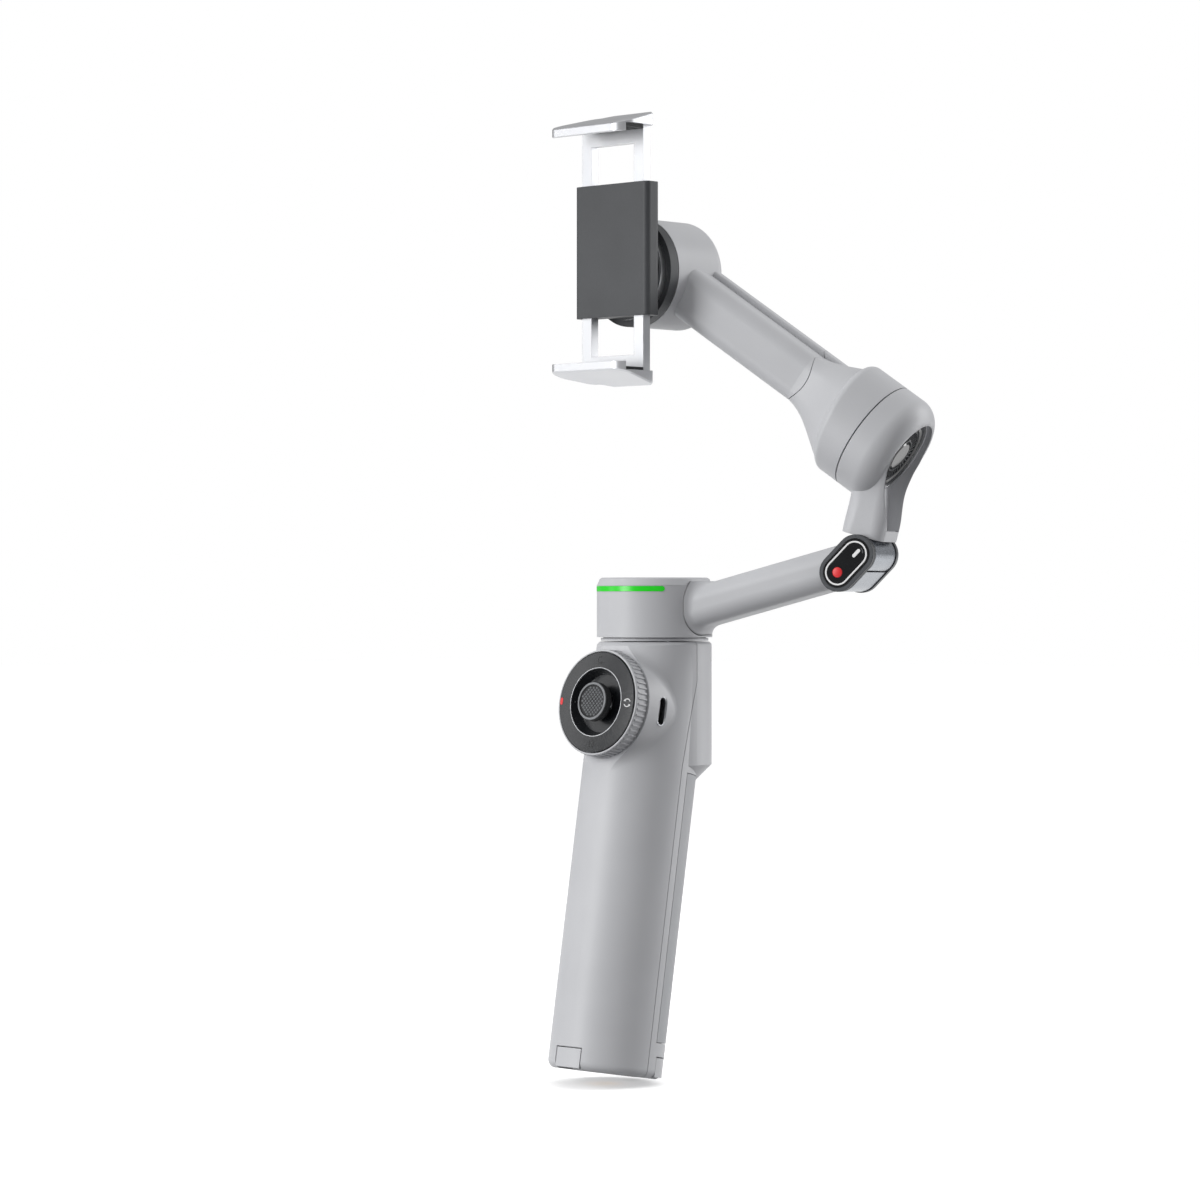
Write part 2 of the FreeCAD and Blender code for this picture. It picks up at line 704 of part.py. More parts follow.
def light_bar(outer, inner, gap):
    """Arc of light guide with rounded ends, on the housing's front."""
    start = -90 - LIGHT_HALF_ARC
    end = -90 + LIGHT_HALF_ARC
    middle = (LIGHT_LOW + LIGHT_HIGH) / 2
    half = (LIGHT_HIGH - LIGHT_LOW) / 2 + gap
    bar = bent_slab(outer, inner, start, end, middle - half, middle + half)
    for angle in (start, end):
        end_cap = Part.makeCylinder(half, outer, V(0, 0, middle), X_AXIS)
        end_cap = turned(end_cap, Z_AXIS, angle)
        bar = bar.fuse(end_cap.common(tube(outer, inner, middle - half, middle + half)))
    return bar


def pan_housing():
    cup = tube(PAN_RADIUS, PAN_RADIUS - PAN_WALL, PAN_FLOOR, PAN_SPLIT)
    cup = cup.cut(light_bar(PAN_RADIUS + 1, PAN_RADIUS - LIGHT_DEPTH, 0.0))
    port = arm_bar(ARM_WALL, 0.0, PIVOT_R / 2)
    return in_neck(cup.cut(turned(port, Z_AXIS, ARM_YAW)))


def pan_cap():
    inner = PAN_RADIUS - PAN_WALL
    top = PAN_TOP
    plug = PAN_SPLIT - 1.6
    cap = spun([(0, plug), (inner - 0.05, plug), (inner - 0.05, PAN_SPLIT), (PAN_RADIUS, PAN_SPLIT),
                (PAN_RADIUS - CAP_SLOPE * 0.8, top - 0.4), (PAN_RADIUS - CAP_SLOPE - 0.5, top), (0, top)])
    return in_neck(cap.cut(turned(arm_bar(0.0, 0.0, PIVOT_R / 2), Z_AXIS, ARM_YAW)))


def status_light():
    return in_neck(light_bar(PAN_RADIUS + 0.08, PAN_RADIUS - LIGHT_DEPTH, 0.0))


# ---- lower arm ----------------------------------------------------------------------------
def arm_bar(inset, start, end):
    """Straight rounded bar along the lower arm, in the arm frame."""
    half_y = ARM_WIDTH / 2 - inset
    half_z = ARM_THICK / 2 - inset
    radius = ARM_ROUND - 0.6 * inset
    bar = rounded_block(-half_z, half_z, -half_y, half_y, radius, start, end)
    bar = turned(bar, Y_AXIS, 90 - ARM_RISE)
    return moved(bar, 0, 0, arm_foot())


def arm_root(length):
    """Arm with its root blended into the pan housing's wall."""
    wall = rod(PAN_RADIUS, -2 * PAN_TOP, 4 * PAN_TOP)
    whole = wall.fuse(arm_bar(0.0, 0.0, length)).removeSplitter()
    near = 1.6 * PAN_RADIUS
    creases = [e for e in whole.Edges if e.BoundBox.XMax < near and len(e.Vertexes) > 1]
    creases = [e for e in creases if e.BoundBox.ZMin > -PAN_TOP and e.BoundBox.ZMax < 2 * PAN_TOP]
    return whole.makeFillet(ROOT_BLEND, creases)


def arm_foot():
    """Height where the lower arm's middle line crosses the pan axis."""
    middle = KNUCKLE_STEP / 2 * math.cos(math.radians(45))
    lift = (PIVOT_R - middle) * math.tan(math.radians(ARM_RISE))
    return PIVOT_Z + ARM_RAISE - middle - lift


def knuckle(radius, y0, y1):
    step = KNUCKLE_STEP * math.cos(math.radians(45))
    return capsule(PIVOT_R - step, PIVOT_Z - step, PIVOT_R, PIVOT_Z, radius, y0, y1)


def pivot_rod(radius, y0, y1):
    return Part.makeCylinder(radius, y1 - y0, V(PIVOT_R, y0, PIVOT_Z), Y_AXIS)


def lower_arm():
    """Hollow arm from the pan housing to the fold hinge."""
    end = (PIVOT_R - KNUCKLE_STEP * 0.5) / math.cos(math.radians(ARM_RISE))
    bar = arm_root(end - KNUCKLE_RADIUS * 0.4)
    bar = bar.cut(arm_bar(ARM_WALL, -1.0, end - 3.2 * KNUCKLE_RADIUS))
    bar = bar.cut(rod(PAN_RADIUS, -3 * PAN_TOP, 5 * PAN_TOP))
    reach = 2 * PAN_RADIUS
    bar = bar.cut(block(0, reach, -reach, reach, -reach, PAN_FLOOR))
    bar = bar.cut(block(0, reach, -reach, reach, PAN_TOP - CAP_SLOPE, reach).common(
        rod(PAN_RADIUS + ROOT_BLEND, 0, reach)))
    bar = bar.cut(knuckle(KNUCKLE_RADIUS, -ARM_WIDTH, ARM_WIDTH))
    bar = bar.cut(knuckle(KNUCKLE_RADIUS + 0.3, KNUCKLE_HALF, ARM_WIDTH))
    bar = bar.cut(pivot_rod(KNUCKLE_RADIUS + RUN, -ARM_WIDTH, ARM_WIDTH))
    swing = pivot_rod(UPPER_THICK, -ARM_WIDTH, ARM_WIDTH)
    swing = swing.common(block(PIVOT_R - KNUCKLE_STEP, 2 * PIVOT_R, -ARM_WIDTH, ARM_WIDTH,
                               PIVOT_Z - KNUCKLE_RADIUS, 2 * PIVOT_R))
    return in_arm(bar.cut(swing))


def hinge_block():
    solid = knuckle(KNUCKLE_RADIUS, -KNUCKLE_HALF, KNUCKLE_HALF)
    solid = solid.cut(pivot_rod(KNUCKLE_RADIUS + RUN, -ARM_WIDTH, ARM_WIDTH))
    return in_arm(solid)


def hinge_front_plate():
    near = -KNUCKLE_HALF - RUN
    plate = knuckle(KNUCKLE_RADIUS, near - FRONT_PLATE, near)
    plate = plate.cut(knuckle(KNUCKLE_RADIUS - FACE_INSET, near - FRONT_PLATE - 1,
                              near - FRONT_PLATE + FACE_DEPTH))
    return in_arm(plate.cut(pivot_rod(HINGE_PIN, -ARM_WIDTH, 0)))


def hinge_face():
    outside = -KNUCKLE_HALF - RUN - FRONT_PLATE
    return in_arm(knuckle(KNUCKLE_RADIUS - FACE_INSET - 0.1, outside - 0.1, outside + FACE_DEPTH))


def hinge_rear_plate():
    far = KNUCKLE_HALF + RUN
    plate = knuckle(KNUCKLE_RADIUS + 0.3, far, far + REAR_PLATE)
    return in_arm(plate.cut(pivot_rod(HINGE_PIN, 0, ARM_WIDTH)))


def hinge_pin():
    near = -KNUCKLE_HALF - RUN - FRONT_PLATE + FACE_DEPTH
    return in_arm(pivot_rod(HINGE_PIN, near, KNUCKLE_HALF + RUN + REAR_PLATE))


# ---- upper arm and tilt motor ----------------------------------------------------------------
def hinge_barrel():
    barrel = pivot_rod(KNUCKLE_RADIUS, -KNUCKLE_HALF, KNUCKLE_HALF)
    return in_arm(barrel.cut(pivot_rod(HINGE_PIN + FIT, -ARM_WIDTH, ARM_WIDTH)))


def upper_bar():
    """Flaring bar from the hinge barrel up into the motor, in the row frame."""
    half = UPPER_WIDTH / 2
    thick = UPPER_THICK / 2
    inner = -thick - UPPER_INNER
    sections = [rounded_wire(inner + 0.4, thick - 0.2, -half, half, 3.4, ROOT_GAP),
                rounded_wire(inner, thick, -half, half, 4.2, 10.0),
                rounded_wire(inner, thick, -half - 0.6, half + 0.6, 4.6, 17.0),
                rounded_wire(inner - 0.6, thick + 0.4, -half - 3.4, half + 3.4, 5.2, 25.0),
                rounded_wire(inner - 2.0, thick + 0.4, -half - 5.2, half + 5.2, 5.0, 33.0)]
    return in_upper(Part.makeLoft(sections, True, False))


def motor_drum():
    """Tilt motor's stationary half: a drum with a generously rounded back."""
    r = TILT_RADIUS
    back = -TILT_BACK
    lip = RECESS_RADIUS + 0.8
    arc_mid = V(r - 1.15, 0, back + 2.6)
    start = V(r, 0, back + 7.0)
    end = V(lip, 0, back)
    outline = Part.Wire([Part.makeLine(V(0, 0, -SEAM), V(r, 0, -SEAM)),
                         Part.makeLine(V(r, 0, -SEAM), start),
                         Part.Arc(start, arc_mid, end).toShape(),
                         Part.makeLine(end, V(0, 0, back)),
                         Part.makeLine(V(0, 0, back), V(0, 0, -SEAM))])
    return Part.Face(outline).revolve(ORIGIN, Z_AXIS, 360)


def recess_cut():
    """Teardrop recess that runs out of the motor's back down the arm."""
    reach = 2 * RECESS_RADIUS
    deep = -4 * TILT_BACK
    round_cut = rod(RECESS_RADIUS, deep, -RECESS_FLOOR)
    tail = rod(TAIL_RADIUS, deep, 0, -reach, 0)
    flank = math.acos((RECESS_RADIUS - TAIL_RADIUS) / reach)
    c = math.cos(flank)
    s = math.sin(flank)
    big = RECESS_RADIUS
    end = -reach - TAIL_RADIUS * c
    edge = TAIL_RADIUS * s
    corners = [V(-big * c, big * s, deep), V(end, edge, deep), V(end, -edge, deep),
               V(-big * c, -big * s, deep)]
    sides = Part.Face(Part.makePolygon(corners + corners[:1])).extrude(V(0, 0, -deep))
    drop = sides.fuse([tail, rod(big, deep, 0)])
    ramp = [V(0, -reach, -RECESS_FLOOR), V(-big + 1.0, -reach, -RECESS_FLOOR - 0.6),
            V(-reach - TAIL_RADIUS, -reach, -RECESS_FLOOR - 13.5),
            V(-reach - TAIL_RADIUS, -reach, deep),
            V(0, -reach, deep)]
    ramp = Part.Face(Part.makePolygon(ramp + ramp[:1])).extrude(V(0, 2 * reach, 0))
    return round_cut.fuse(drop.common(ramp))


def upper_arm():
    drum = in_tilt(motor_drum())
    clear = in_arm(pivot_rod(KNUCKLE_RADIUS, -ARM_WIDTH, ARM_WIDTH))
    body = drum.fuse(upper_bar())
    reach = 3 * TILT_RADIUS
    beyond_seam = block(-reach, reach, -reach, reach, -SEAM, reach)
    room = rod(TILT_RADIUS - TILT_WALL, -RECESS_FLOOR + DISC_THICKNESS + 0.6, reach)
    body = body.cut([in_tilt(beyond_seam), in_tilt(room), in_tilt(recess_cut()), clear])
    body = body.cut(in_tilt(rod(RECESS_RADIUS - 0.5, -RECESS_FLOOR, reach)))
    return body.cut(foot_cover_shape(0.1))


def foot_cover_shape(gap):
    """Small cover at the foot of the arm's outer face."""
    half = UPPER_WIDTH / 2 - 2.6
    thick = UPPER_THICK / 2
    return in_upper(block(thick - 1.1 - gap, 2 * thick, -half - gap, half + gap,
                          0, 8.4 + gap))


def foot_cover():
    clear = in_arm(pivot_rod(KNUCKLE_RADIUS + 0.1, -ARM_WIDTH, ARM_WIDTH))
    return upper_bar().common(foot_cover_shape(0.0)).cut(clear)


def tilt_disc():
    """Dark end disc at the bottom of the recess."""
    low = -RECESS_FLOOR
    r = RECESS_RADIUS - 0.5
    return in_tilt(spun([(0, low - 0.5), (r * 0.35, low - 0.5), (r * 0.42, low), (r * 0.8, low),
                         (r * 0.86, low - 0.3), (r, low), (r, low + DISC_THICKNESS),
                         (0, low + DISC_THICKNESS)]))


def tilt_bezel():
    outer = RECESS_RADIUS - 0.02
    return in_tilt(tube(outer, outer - BEZEL_WALL, -RECESS_FLOOR - 0.7, -RECESS_FLOOR))


def tilt_stator():
    r = TILT_RADIUS - TILT_WALL - ROTOR_WALL - 0.8
    low = -RECESS_FLOOR + DISC_THICKNESS + 0.6
    return in_tilt(tube(r, TILT_SHAFT + FIT, low, -0.6))


# ---- link arm and roll motor --------------------------------------------------------------------
def link_length():
    return TILT_SEAM_R / math.cos(math.radians(TILT_RISE))


def link_solid():
    """Rotor drum, tapering arm and spine, in the tilt frame."""
    r = TILT_RADIUS
    drum = rod(r, SEAM, ROTOR_LENGTH + 2 * SHOULDER_RISE)
    middle = ROTOR_LENGTH + SHOULDER_RISE
    tilted = turned(block(-2 * r, 2 * r, -2 * r, 2 * r, 0, 2 * r), Y_AXIS, -SHOULDER_TILT)
    drum = drum.cut(moved(tilted, 0, 0, middle))
    rim = [e for e in drum.Edges if e.Curve.TypeId == "Part::GeomEllipse"]
    drum = drum.makeFillet(SHOULDER_ROUND, rim)
    far = link_length() - ROLL_RADIUS * 0.6
    half = LINK_HALF
    neck = [rounded_wire(-15.4, 15.9, -15.4, 15.4, 13.0, ROTOR_LENGTH),
            rounded_wire(-11.0, 14.0, -12.0, 12.0, 8.6, ROTOR_LENGTH + 6.2),
            rounded_wire(-7.4, LINK_HIGH + 1.6, -half - 1.3, half + 1.3, 5.6, ROTOR_LENGTH + 12.0),
            rounded_wire(-LINK_LOW, LINK_HIGH, -half, half, 4.2, ROTOR_LENGTH + LINK_TAPER)]
    taper = Part.makeLoft(neck, True, False)
    straight = Part.Face(neck[3]).extrude(V(0, 0, far - ROTOR_LENGTH - LINK_TAPER))
    spine = rounded_block(LINK_HIGH - 3.0, LINK_HIGH + LINK_SPINE, half - 5.6, half - 0.4, 1.2,
                          ROTOR_LENGTH + 3.0, far)
    return drum.fuse([taper, straight, spine])


def roll_drum(radius, low, high):
    drum = rod(radius, low, high)
    back = [e for e in drum.Edges if len(e.Vertexes) == 1 and e.BoundBox.ZMax < low + 0.1]
    return drum.makeFillet(ROLL_ROUND, back)


def link_split_tool():
    """Everything on the roll motor's side of the link arm's curved seam."""
    centre = LINK_SPLIT + LINK_SPLIT_RADIUS
    mid = (LINK_HIGH - LINK_LOW) / 2
    reach = 2 * TILT_SEAM_R
    barrel = Part.makeCylinder(LINK_SPLIT_RADIUS, 2 * reach, V(mid, -reach, centre), Y_AXIS)
    return barrel.fuse(block(-reach, reach, -reach, reach, centre, 2 * reach))


def link_pieces():
    solid = in_tilt(link_solid())
    solid = solid.cut(in_tilt(rod(TILT_RADIUS - TILT_WALL, 0, ROTOR_LENGTH)))
    duct = rounded_block(-2.4, 6.6, -5.2, 5.2, 2.0, ROTOR_LENGTH + 5.0, link_length())
    solid = solid.cut(in_tilt(duct))
    drum = in_roll(roll_drum(ROLL_RADIUS, -ROLL_BACK, ROLL_FRONT))
    room = in_roll(rod(ROLL_RADIUS - ROLL_WALL, -ROLL_BACK + ROLL_WALL, ROLL_FRONT + 1))
    solid = solid.fuse(drum).cut(room)
    tool = in_tilt(link_split_tool())
    inner = solid.common(tool)
    outer = solid.cut(in_tilt(grown_split_tool()))
    return outer, inner


def grown_split_tool():
    return moved(link_split_tool(), 0, 0, -SEAM)


def tilt_rotor():
    outer = TILT_RADIUS - TILT_WALL
    ring = tube(outer, outer - ROTOR_WALL, SEAM + 0.2, ROTOR_LENGTH)
    plate = tube(outer, TILT_BORE, ROTOR_LENGTH - 1.6, ROTOR_LENGTH)
    low = -RECESS_FLOOR + DISC_THICKNESS + 0.9
    shaft = tube(TILT_SHAFT, TILT_BORE, low, ROTOR_LENGTH - 1.6)
    return in_tilt(ring.fuse([plate, shaft]))


def roll_stator():
    outer = ROLL_RADIUS - ROLL_WALL - 0.6
    return in_roll(tube(outer - ROTOR_WALL, ROLL_SHAFT + FIT, -ROLL_BACK + ROLL_WALL, ROLL_FRONT - 3.0))


def roll_rotor():
    """Front half of the roll motor, with magnets and shaft."""
    front = ROLL_FRONT + RUN
    outer = ROLL_RADIUS - ROLL_WALL - 0.4
    cap = rod(ROLL_RADIUS, front, front + 3.4)
    ring = tube(outer, outer - ROTOR_WALL + 0.6, -ROLL_FRONT, front)
    shaft = rod(ROLL_SHAFT, -ROLL_BACK + ROLL_WALL + 0.4, front)
    return in_roll(cap.fuse([ring, shaft]))


# ---- phone clamp -----------------------------------------------------------------------------------
def magnet_plate():
    low = ROLL_FRONT + RUN + 3.4
    return in_roll(rod(MAGNET_RADIUS, low, low + MAGNET_THICK))


def phone_frame(shape):
    """Clamp frame: origin at the middle of the phone's back, -Y to the front."""
    return in_neck(moved(shape, 0, -PHONE_BACK, PHONE_CENTRE))


def leg_slot(side, gap):
    """Slot in the clamp frame for one jaw leg, or the leg itself with no gap."""
    x0 = LEG_GAP_INNER - gap
    x1 = LEG_GAP_INNER + LEG_WIDTH + gap
    y0 = LEG_FRONT - gap
    y1 = LEG_FRONT + LEG_THICK + gap
    if side < 0:
        x0, x1 = -x1, -x0
    return x0, x1, y0, y1


def clamp_frame():
    low = -FRAME_LOW
    high = FRAME_HIGH
    body = rounded_block(-FRAME_HALF, FRAME_HALF, 0.4, 0.4 + FRAME_THICK, 1.6, low, high)
    for side in (-1, 1):
        x0, x1, y0, y1 = leg_slot(side, RUN)
        body = body.cut(block(x0, x1, y0, y1, low - 1, high + 1))
    back = 0.4 + FRAME_THICK
    seat_end = PHONE_BACK - ROLL_FRONT - RUN - 3.4 - MAGNET_THICK
    seat = Part.makeCylinder(MAGNET_RADIUS, seat_end - back, V(0, back, ROLL_HEIGHT - PHONE_CENTRE), Y_AXIS)
    return phone_frame(body.fuse(seat))


def round_corners(points):
    """Closed wire in the X-Y plane from (x, y, corner radius) points."""
    count = len(points)
    edges = []
    first = None
    last = None
    for i in range(count):
        x, y, radius = points[i]
        corner = V(x, y, 0)
        back = V(points[i - 1][0] - x, points[i - 1][1] - y, 0).normalize()
        ahead = V(points[(i + 1) % count][0] - x, points[(i + 1) % count][1] - y, 0).normalize()
        half = back.getAngle(ahead) / 2
        run = radius / math.tan(half)
        enter = corner + back * run
        leave = corner + ahead * run
        bisector = (back + ahead).normalize()
        crown = corner + bisector * (radius / math.sin(half) - radius)
        if last is not None:
            edges.append(Part.makeLine(last, enter))
        else:
            first = enter
        edges.append(Part.Arc(enter, crown, leave).toShape())
        last = leave
    edges.append(Part.makeLine(last, first))
    return Part.Wire(edges)


def jaw_wedge():
    """Upper jaw's bar: thin at the front lip, rising to the back, stepped behind."""
    half = JAW_WIDTH / 2
    front = -PHONE_THICK - JAW_LIP_DEPTH
    back = LEG_FRONT + LEG_THICK
    low = PHONE_WIDTH / 2 - JAW_LIP
    outline = [(-half, front, 2.4), (half, front, JAW_ROUND), (half, back - 1.6, 1.0),
               (half - 1.8, back, 1.0), (-2.0, back, 2.0), (-5.0, back - JAW_STEP, 2.0),
               (-8.6, back - JAW_STEP, 5.0), (-half, front + 5.0, 3.0)]
    plate = Part.Face(round_corners(outline)).extrude(V(0, 0, 3 * JAW_THICK))
    plate = moved(plate, 0, 0, low)
    rise = math.tan(math.radians(JAW_SLOPE))
    crest = low + JAW_LIP + JAW_PAD + JAW_THICK
    edge = crest - (back - front) * rise
    reach = 2 * JAW_WIDTH
    section = [V(-reach, front - 10, edge - 10 * rise), V(-reach, back + 10, crest + 10 * rise),
               V(-reach, back + 10, 2 * crest), V(-reach, front - 10, 2 * crest)]
    above = Part.Face(Part.makePolygon(section + section[:1])).extrude(V(2 * reach, 0, 0))
    wedge_bar = plate.cut(above)
    rim = [e for e in wedge_bar.Edges if e.BoundBox.ZMin > edge - 0.2]
    wedge_bar = wedge_bar.makeChamfer(JAW_CHAMFER, rim)
    room = block(-reach, reach, front + JAW_LIP_DEPTH, reach, low - 1, low + JAW_LIP + JAW_PAD)
    return wedge_bar.cut(room)


def jaw(side):
    """Jaw on two legs that slide in the frame; side is +1 for the upper jaw."""
    grip = PHONE_WIDTH / 2
    pieces = []
    for leg_side in (-1, 1):
        x0, x1, y0, y1 = leg_slot(leg_side, 0.0)
        pieces.append(block(x0, x1, y0, y1, grip - LEG_LENGTH, grip + JAW_PAD))
    back = LEG_FRONT + LEG_THICK
    yoke = block(-LEG_GAP_INNER - 1, LEG_GAP_INNER + LEG_WIDTH, LEG_FRONT, back - JAW_STEP + 2.0,
                 grip - 4.0, grip + JAW_PAD)
    whole = jaw_wedge().fuse(pieces + [yoke])
    if side < 0:
        whole = whole.mirror(ORIGIN, Z_AXIS)
    return phone_frame(whole)


def jaw_pad(side):
    """Rubber strip under a jaw, inside the jaw's outline."""
    grip = PHONE_WIDTH / 2
    half = JAW_WIDTH / 2 - PAD_INSET
    front = 0.1 - PHONE_THICK
    outline = [(-half, front, 0.9), (half, front, 1.2), (half, 1.0, 1.2), (-7.0, 1.0, 1.0),
               (-half, front + 2.1, 0.9)]
    pad = moved(Part.Face(round_corners(outline)).extrude(V(0, 0, JAW_PAD)), 0, 0, grip)
    if side < 0:
        pad = pad.mirror(ORIGIN, Z_AXIS)
    return phone_frame(pad)


# ---- write every node ----------------------------------------------------------------------------------
def main():
    os.makedirs("parts", exist_ok=True)
    front_shell, rear_shell = grip_shells()
    save("front_shell", front_shell)
    save("rear_shell", rear_shell)
    save("grip_pad", grip_pad())
    save("base_plug", base_plug())
    save("thread_insert", thread_insert())
    save("battery_tube", battery_tube())
    save("battery_cell", battery_cell())
    save("rod_sleeve", rod_sleeve())
    save("main_board", main_board())
    save("socket_shell", socket_shell())
    save("socket_tongue", socket_tongue())
    save("shell_screws", Part.makeCompound(shell_screws()))
    save("stick_housing", stick_housing())
    save("trigger_pin", trigger_pin())
    save("trigger", trigger())
    save("zoom_dial", dial())
    save("button_ring", button_ring())
    save("stick_yoke", stick_yoke())
    save("stick_stem", stick_stem())
    save("stick_cap", stick_cap())
    save("tripod_hub", tripod_hub())
    save("tripod_pins", Part.makeCompound(tripod_pins()))
    for leg in range(LEG_COUNT):
        save("tripod_leg_" + str(leg + 1), tripod_leg(leg))
    for stage in range(1, ROD_COUNT + 1):
        save("rod_stage_" + str(stage), rod_stage(stage))
    save("neck_flange", neck_flange())
    save("pan_stator", pan_stator())
    save("pan_rotor", pan_rotor())
    save("pan_housing", pan_housing())
    save("pan_cap", pan_cap())
    save("status_light", status_light())
    save("lower_arm", lower_arm())
    save("hinge_block", hinge_block())
    save("hinge_front_plate", hinge_front_plate())
    save("hinge_face", hinge_face())
    save("hinge_rear_plate", hinge_rear_plate())
    save("hinge_pin", hinge_pin())
    save("hinge_barrel", hinge_barrel())
    save("upper_arm", upper_arm())
    save("arm_foot_cover", foot_cover())
    save("tilt_stator", tilt_stator())
    save("tilt_disc", tilt_disc())
    save("tilt_bezel", tilt_bezel())
    link_outer, link_inner = link_pieces()
    save("link_arm", link_outer)
    save("roll_housing", link_inner)
    save("tilt_rotor", tilt_rotor())
    save("roll_stator", roll_stator())
    save("roll_rotor", roll_rotor())
    save("magnet_plate", magnet_plate())
    save("clamp_frame", clamp_frame())
    save("jaw_top", jaw(1))
    save("jaw_bottom", jaw(-1))
    save("jaw_pad_top", jaw_pad(1))
    save("jaw_pad_bottom", jaw_pad(-1))


main()
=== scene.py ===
import json
import math

import bmesh
import bpy
from mathutils import Matrix, Vector


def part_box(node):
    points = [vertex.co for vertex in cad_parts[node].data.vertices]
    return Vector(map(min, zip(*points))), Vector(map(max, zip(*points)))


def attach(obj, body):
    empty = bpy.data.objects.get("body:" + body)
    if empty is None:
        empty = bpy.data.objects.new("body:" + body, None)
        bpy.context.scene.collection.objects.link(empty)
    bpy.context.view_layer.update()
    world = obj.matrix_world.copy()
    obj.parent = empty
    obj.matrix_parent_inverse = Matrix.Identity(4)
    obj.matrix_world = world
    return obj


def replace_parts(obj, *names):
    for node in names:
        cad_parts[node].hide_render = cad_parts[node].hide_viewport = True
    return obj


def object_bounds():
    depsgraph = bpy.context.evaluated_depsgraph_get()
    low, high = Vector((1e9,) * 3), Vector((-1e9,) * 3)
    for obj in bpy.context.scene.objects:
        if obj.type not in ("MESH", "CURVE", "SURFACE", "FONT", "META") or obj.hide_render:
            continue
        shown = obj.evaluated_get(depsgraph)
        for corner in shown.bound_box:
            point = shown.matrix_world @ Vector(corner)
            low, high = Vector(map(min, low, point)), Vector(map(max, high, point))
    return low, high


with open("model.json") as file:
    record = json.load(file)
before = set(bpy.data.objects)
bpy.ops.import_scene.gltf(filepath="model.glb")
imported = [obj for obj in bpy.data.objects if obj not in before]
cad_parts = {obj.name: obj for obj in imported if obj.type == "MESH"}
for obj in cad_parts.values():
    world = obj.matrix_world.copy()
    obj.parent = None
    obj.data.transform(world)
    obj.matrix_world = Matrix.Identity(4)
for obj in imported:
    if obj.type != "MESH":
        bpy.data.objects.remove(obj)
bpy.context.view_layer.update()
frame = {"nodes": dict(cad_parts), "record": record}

MM = 0.001
QUARTER = math.radians(90)
LINE_STEPS = 20      # steps along a printed line, and round its ends

# ---- where things are, in millimetres, from the frame's own parts -----------------------------
GRIP_LEAN = math.radians(9.7)
WHEEL_HEIGHT = 109.6
WHEEL_FACE = 22.2
RING_RADIUS = 15.2
BOWL_RADIUS = 10.4
STICK_RADIUS = 6.0
STICK_TOP = WHEEL_FACE + 2.2
ARM_YAW = math.radians(19.5)
PIVOT_R = 69.0
PIVOT_Z = 25.6
KNUCKLE_STEP = 7.7
FACE_Y = -11.2
TILT_RISE = math.radians(35.5)
TILT_SEAM_R = 70.8
TILT_SEAM_Z = 60.7
PHONE_CENTRE = 117.3
PHONE_BACK = 20.0
PHONE_HALF = 35.75

pan_low, pan_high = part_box("pan_cap")
PAN_AXIS = Vector(((pan_low.x + pan_high.x) / 2, (pan_low.y + pan_high.y) / 2, 0))
NECK_PLANE = pan_high.z - 18.8 * MM


def at(x, y, z):
    return Matrix.Translation(Vector((x, y, z)) * MM)


NECK = Matrix.Translation(PAN_AXIS + Vector((0, 0, NECK_PLANE)))
WHEEL = (Matrix.Rotation(-GRIP_LEAN, 4, "X") @ at(0, 0, WHEEL_HEIGHT)
         @ Matrix.Rotation(QUARTER, 4, "X"))
ARM = NECK @ Matrix.Rotation(ARM_YAW, 4, "Z")
TILT = ARM @ at(TILT_SEAM_R, 0, TILT_SEAM_Z) @ Matrix.Rotation(TILT_RISE - QUARTER, 4, "Y")
CLAMP = NECK @ at(0, -PHONE_BACK, PHONE_CENTRE)


# ---- materials --------------------------------------------------------------------------------
def paint(code):
    """Linear colour from an sRGB hex code."""
    out = []
    for i in (0, 2, 4):
        c = int(code[i:i + 2], 16) / 255
        out.append(c / 12.92 if c <= 0.04045 else ((c + 0.055) / 1.055) ** 2.4)
    return (*out, 1.0)


def add(mat, kind, inputs=None, **settings):
    """Adds a shader node; inputs are socket values, or the sockets that feed them."""
    made = mat.node_tree.nodes.new(kind)
    for name, value in settings.items():
        setattr(made, name, value)
    for name, value in (inputs or {}).items():
        if isinstance(value, bpy.types.NodeSocket):
            mat.node_tree.links.new(value, made.inputs[name])
        else:
            made.inputs[name].default_value = value
    return made


def ramp(mat, factor, stops):
    """Colour ramp over a factor, from (place, colour) stops."""
    made = add(mat, "ShaderNodeValToRGB", {"Fac": factor})
    points = made.color_ramp.elements
    while len(points) < len(stops):
        points.new(0.5)
    for point, (place, colour) in zip(points, stops):
        point.position = place
        point.color = colour
    return made.outputs["Color"]


